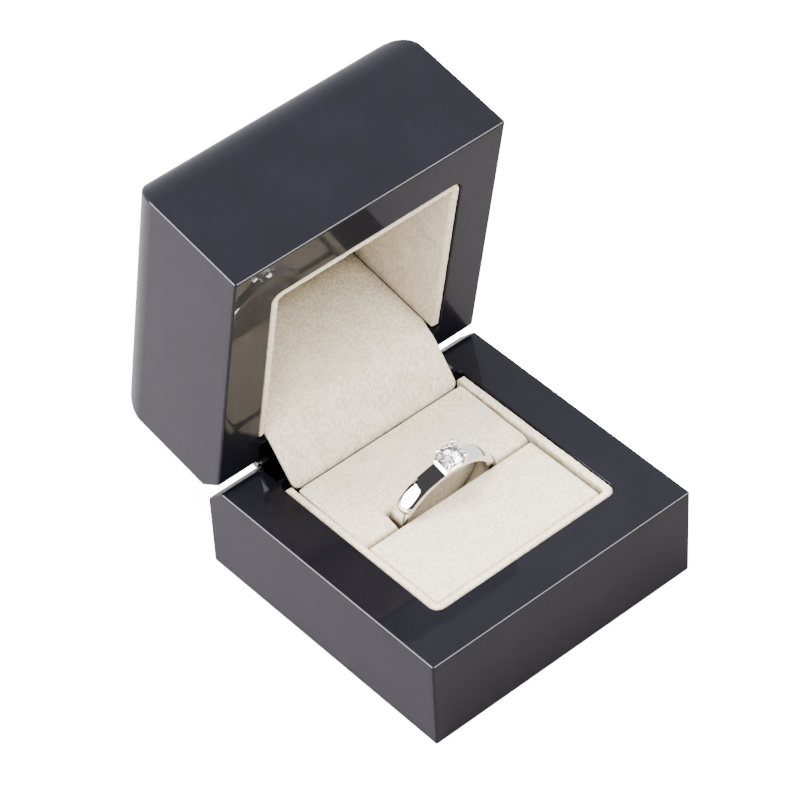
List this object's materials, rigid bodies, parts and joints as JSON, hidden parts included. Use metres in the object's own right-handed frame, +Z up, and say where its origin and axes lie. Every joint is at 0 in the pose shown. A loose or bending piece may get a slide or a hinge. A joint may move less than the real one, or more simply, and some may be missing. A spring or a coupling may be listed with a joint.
{
  "type": "ring display box",
  "caption": "Square lacquered ring display box with sprung lid, suede-lined well, split pad, hinge-hiding flap and a lift-out ring.",
  "frame": {"origin": "middle of the underside, on the surface the box rests on", "axes": "+X to the right seen from the front, +Y towards the hinge, +Z up"},
  "size_m": [0.06, 0.0848, 0.0806],
  "materials": {
    "lacquer": "high-gloss dark lacquer",
    "felt": "felt",
    "suede": "cream suede",
    "foam": "open-cell foam",
    "card": "greyboard",
    "steel": "nickel-plated",
    "white_gold": "polished",
    "stone": "cut and polished"
  },
  "bodies": {
    "base": {"base_shell": "lacquer", "base_felt": "felt", "base_lining": "suede", "pad_board": "card", "front_pad_foam": "foam", "front_pad_cover": "suede", "rear_pad_foam": "foam", "rear_pad_cover": "suede", "base_hinge_leaf": "steel", "base_hinge_screws": "steel", "hinge_pin": "steel", "hinge_spring": "steel"},
    "lid": {"lid_shell": "lacquer", "lid_lining": "suede", "lid_hinge_panel": "suede", "lid_ceiling_board": "card", "lid_ceiling_pad": "suede", "lid_hinge_leaf": "steel", "lid_hinge_screws": "steel"},
    "flap": {"flap_card": "card", "flap_cover": "suede"},
    "ring": {"ring_band": "white_gold", "ring_head": "white_gold", "ring_stone": "stone"}
  },
  "joints": [
    {"name": "lid_hinge", "type": "hinge", "parent": "base", "child": "lid", "pos_m": [0, 0.027, 0.0204], "axis": [1, 0, 0], "range_deg": [0, 79]},
    {"name": "flap_fold", "type": "hinge", "parent": "lid", "child": "flap", "pos_m": [0, 0.02593, 0.02748], "axis": [1, 0, 0], "range_deg": [-41.4, 0]},
    {"name": "ring_lift", "type": "slide", "parent": "base", "child": "ring", "axis": [0, -0.2504, 0.9681], "range_m": [0, 0.012]}
  ],
  "couplings": [
    {"joint": "flap_fold", "follows": "lid_hinge", "ratio": -0.52278}
  ]
}
